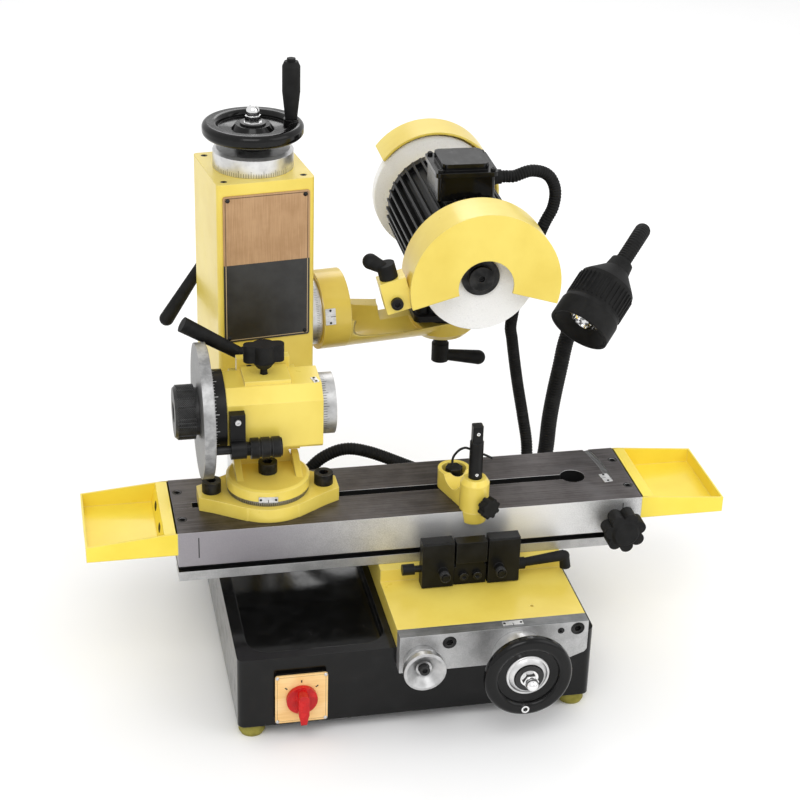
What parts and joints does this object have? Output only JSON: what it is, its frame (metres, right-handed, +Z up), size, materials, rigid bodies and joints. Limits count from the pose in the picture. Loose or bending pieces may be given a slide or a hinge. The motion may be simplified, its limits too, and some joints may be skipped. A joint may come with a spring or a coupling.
{
  "type": "tool and cutter grinder",
  "caption": "Bench tool and cutter grinder with a column carried motor and guarded wheels, a cross sliding table, an indexing work head, a tooth rest and a gooseneck lamp.",
  "frame": {"origin": "middle of the machine's footprint on the floor under the feet", "axes": "+X along the table to the right, +Y to the back, +Z up"},
  "size_m": [0.7526, 0.6846, 0.6782],
  "materials": {
    "yellow_paint": "gloss",
    "black_gloss": "gloss",
    "black_satin": "satin",
    "ground_steel": "ground",
    "turned_steel": "turned",
    "bright_chrome": "polished",
    "dark_steel": "knurled",
    "bronze": "turned",
    "foot_rubber": "matte",
    "gold_plate": "satin",
    "red_plastic": "gloss",
    "plate_tan": "brushed",
    "wheel_white": "matte",
    "hose_black": "ribbed",
    "black_plastic": "satin",
    "bulb_glass": "clear"
  },
  "bodies": {
    "stand": {"base": "black_gloss", "feet": "foot_rubber", "switch_box": "black_plastic", "switch_plate": "gold_plate", "column_post": "turned_steel", "conduit": "hose_black", "lamp_neck": "hose_black", "lamp_head": "black_plastic", "lamp_bulb": "bulb_glass"},
    "switch": {"switch_knob": "red_plastic"},
    "nut": {"lift_nut": "bronze"},
    "housing": {"column_housing": "yellow_paint", "nameplate": "plate_tan"},
    "lift_wheel": {"lift_screw": "turned_steel", "lift_dial": "turned_steel", "lift_handwheel": "black_gloss", "lift_cap": "bright_chrome"},
    "lift_grip": {"lift_handle": "black_plastic"},
    "lock": {"column_lock": "black_plastic"},
    "arm_body": {"arm": "yellow_paint"},
    "pad_clamp": {"pad_lever": "black_plastic"},
    "motor": {"motor_frame": "black_satin", "motor_base": "black_satin", "terminal_box": "black_gloss", "cable_gland": "black_plastic"},
    "spindle": {"motor_shaft": "dark_steel", "wheels": "wheel_white"},
    "front_guard": {"guard_front": "yellow_paint"},
    "rear_guard": {"guard_rear": "yellow_paint"},
    "guard_clamp": {"guard_lever": "black_plastic"},
    "saddle_body": {"saddle": "yellow_paint", "saddle_plate": "ground_steel", "saddle_bolts": "dark_steel", "fixed_stop": "black_satin"},
    "cross_wheel": {"cross_screw": "turned_steel", "cross_dial": "turned_steel", "cross_handwheel": "black_gloss", "cross_cap": "bright_chrome"},
    "traverse": {"table_knob": "turned_steel"},
    "slide": {"table_slide": "ground_steel"},
    "table_body": {"table": "ground_steel", "trays": "yellow_paint", "head_foot": "yellow_paint", "table_clamps": "dark_steel", "rest_bracket": "yellow_paint"},
    "swivel_clamp": {"swivel_knob": "black_plastic"},
    "left_stop": {"stop_left": "black_satin"},
    "right_stop": {"stop_right": "black_satin"},
    "stop_clamp": {"stop_lever": "black_plastic"},
    "head_turn": {"head_swivel": "yellow_paint"},
    "head": {"head_body": "yellow_paint", "head_bracket": "black_satin"},
    "work_spindle": {"head_spindle": "dark_steel", "head_dials": "turned_steel", "head_ring": "black_satin"},
    "plunger": {"head_plunger": "dark_steel"},
    "head_clamp": {"head_knob": "black_plastic"},
    "head_lock": {"head_lever": "black_plastic"},
    "rest": {"rest_post": "black_satin"},
    "rest_clamp": {"rest_knob": "black_plastic"}
  },
  "joints": [
    {"name": "switch_turn", "type": "hinge", "parent": "stand", "child": "switch", "pos_m": [-0.1505, -0.25574, 0.054], "axis": [0, 1, 0], "range_deg": [-60, 60]},
    {"name": "column_swivel", "type": "hinge", "parent": "stand", "child": "nut", "pos_m": [-0.1535, 0.09926, 0.436], "axis": [0, 0, 1], "range_deg": [-1, 25], "deforming": ["conduit"]},
    {"name": "column_lift", "type": "slide", "parent": "nut", "child": "housing", "axis": [0, 0, 1], "range_m": [-0.03, 0.08], "deforming": ["conduit"]},
    {"name": "lift_turn", "type": "hinge", "parent": "housing", "child": "lift_wheel", "pos_m": [-0.1535, 0.09926, 0.56], "axis": [0, 0, 1], "continuous": true},
    {"name": "lift_grip_spin", "type": "hinge", "parent": "lift_wheel", "child": "lift_grip", "pos_m": [-0.10962, 0.09596, 0.596], "axis": [0, 0, 1], "continuous": true},
    {"name": "column_lock_turn", "type": "hinge", "parent": "housing", "child": "lock", "pos_m": [-0.18693, 0.15246, 0.431], "axis": [-0.134, 0.991, 0], "range_deg": [-20, 20]},
    {"name": "arm_tilt", "type": "hinge", "parent": "housing", "child": "arm_body", "pos_m": [-0.08017, 0.10917, 0.358], "axis": [0.991, 0.134, 0], "range_deg": [-8, 4], "deforming": ["conduit"]},
    {"name": "pad_clamp_turn", "type": "hinge", "parent": "arm_body", "child": "pad_clamp", "pos_m": [0.09347, 0.16091, 0.2965], "axis": [0, 0, 1], "range_deg": [-40, 40]},
    {"name": "motor_swivel", "type": "hinge", "parent": "arm_body", "child": "motor", "pos_m": [0.09347, 0.16091, 0.3225], "axis": [0, 0, 1], "range_deg": [-5, 20], "deforming": ["conduit"]},
    {"name": "spindle_spin", "type": "hinge", "parent": "motor", "child": "spindle", "pos_m": [0.10547, 0.16072, 0.432], "axis": [0.0157, 0.9999, 0], "continuous": true},
    {"name": "front_guard_turn", "type": "hinge", "parent": "motor", "child": "front_guard", "pos_m": [0.10547, 0.16072, 0.432], "axis": [0.0157, 0.9999, 0], "range_deg": [-15, 15]},
    {"name": "rear_guard_turn", "type": "hinge", "parent": "motor", "child": "rear_guard", "pos_m": [0.10547, 0.16072, 0.432], "axis": [0.0157, 0.9999, 0], "range_deg": [-15, 15]},
    {"name": "guard_clamp_turn", "type": "hinge", "parent": "front_guard", "child": "guard_clamp", "pos_m": [-0.00904, 0.003, 0.4417], "axis": [-0.2756, 0.0043, 0.9613], "range_deg": [-30, 30]},
    {"name": "cross_feed", "type": "slide", "parent": "stand", "child": "saddle_body", "axis": [0, 1, 0], "range_m": [-0.08, 0]},
    {"name": "cross_turn", "type": "hinge", "parent": "saddle_body", "child": "cross_wheel", "pos_m": [0.0935, -0.31574, 0.094], "axis": [0, 1, 0], "continuous": true},
    {"name": "traverse_turn", "type": "hinge", "parent": "saddle_body", "child": "traverse", "pos_m": [-0.018, -0.27194, 0.096], "axis": [0, 1, 0], "range_deg": [-115, 362]},
    {"name": "table_feed", "type": "slide", "parent": "saddle_body", "child": "slide", "axis": [1, 0, 0], "range_m": [-0.03, 0.1]},
    {"name": "table_swivel", "type": "hinge", "parent": "slide", "child": "table_body", "pos_m": [0, -0.08074, 0.2066], "axis": [0, 0, 1], "range_deg": [-2, 2]},
    {"name": "swivel_clamp_turn", "type": "hinge", "parent": "table_body", "child": "swivel_clamp", "pos_m": [0.2445, -0.14274, 0.1781], "axis": [0, 1, 0], "range_deg": [-180, 180]},
    {"name": "left_stop_slide", "type": "slide", "parent": "saddle_body", "child": "left_stop", "axis": [1, 0, 0], "range_m": [-0.05, 0]},
    {"name": "right_stop_slide", "type": "slide", "parent": "saddle_body", "child": "right_stop", "axis": [1, 0, 0], "range_m": [0, 0.01]},
    {"name": "stop_clamp_turn", "type": "hinge", "parent": "right_stop", "child": "stop_clamp", "pos_m": [0.1165, -0.17074, 0.1477], "axis": [1, 0, 0], "range_deg": [-15, 15]},
    {"name": "head_swivel_turn", "type": "hinge", "parent": "table_body", "child": "head_turn", "pos_m": [-0.1625, -0.08074, 0.2238], "axis": [0, 0, 1], "range_deg": [-35, 35]},
    {"name": "head_tilt", "type": "hinge", "parent": "head_turn", "child": "head", "pos_m": [-0.1625, -0.08074, 0.2636], "axis": [0, 1, 0], "range_deg": [-8, 8]},
    {"name": "work_spindle_spin", "type": "hinge", "parent": "head", "child": "work_spindle", "pos_m": [-0.1625, -0.08074, 0.3276], "axis": [1, 0, 0], "continuous": true},
    {"name": "plunger_pull", "type": "slide", "parent": "head", "child": "plunger", "axis": [1, 0, 0], "range_m": [0, 0.008], "stiffness_N_per_m": 300},
    {"name": "head_clamp_turn", "type": "hinge", "parent": "head", "child": "head_clamp", "pos_m": [-0.1665, -0.08074, 0.3696], "axis": [0, 0, 1], "range_deg": [-60, 60]},
    {"name": "head_lock_turn", "type": "hinge", "parent": "head", "child": "head_lock", "pos_m": [-0.1805, -0.03074, 0.3666], "axis": [0, 1, 0], "range_deg": [0, 25]},
    {"name": "rest_turn", "type": "hinge", "parent": "table_body", "child": "rest", "pos_m": [0.07, -0.13474, 0.2066], "axis": [0, 0, 1], "range_deg": [-90, 90]},
    {"name": "rest_clamp_turn", "type": "hinge", "parent": "table_body", "child": "rest_clamp", "pos_m": [0.07, -0.13474, 0.2186], "axis": [-0.4226, 0.9063, 0], "range_deg": [-180, 180]}
  ],
  "couplings": [
    {"joint": "lift_turn", "follows": "column_lift", "rad_per_m": 1256.6},
    {"joint": "cross_turn", "follows": "cross_feed", "rad_per_m": 1256.6},
    {"joint": "traverse_turn", "follows": "table_feed", "rad_per_m": 62.5}
  ]
}
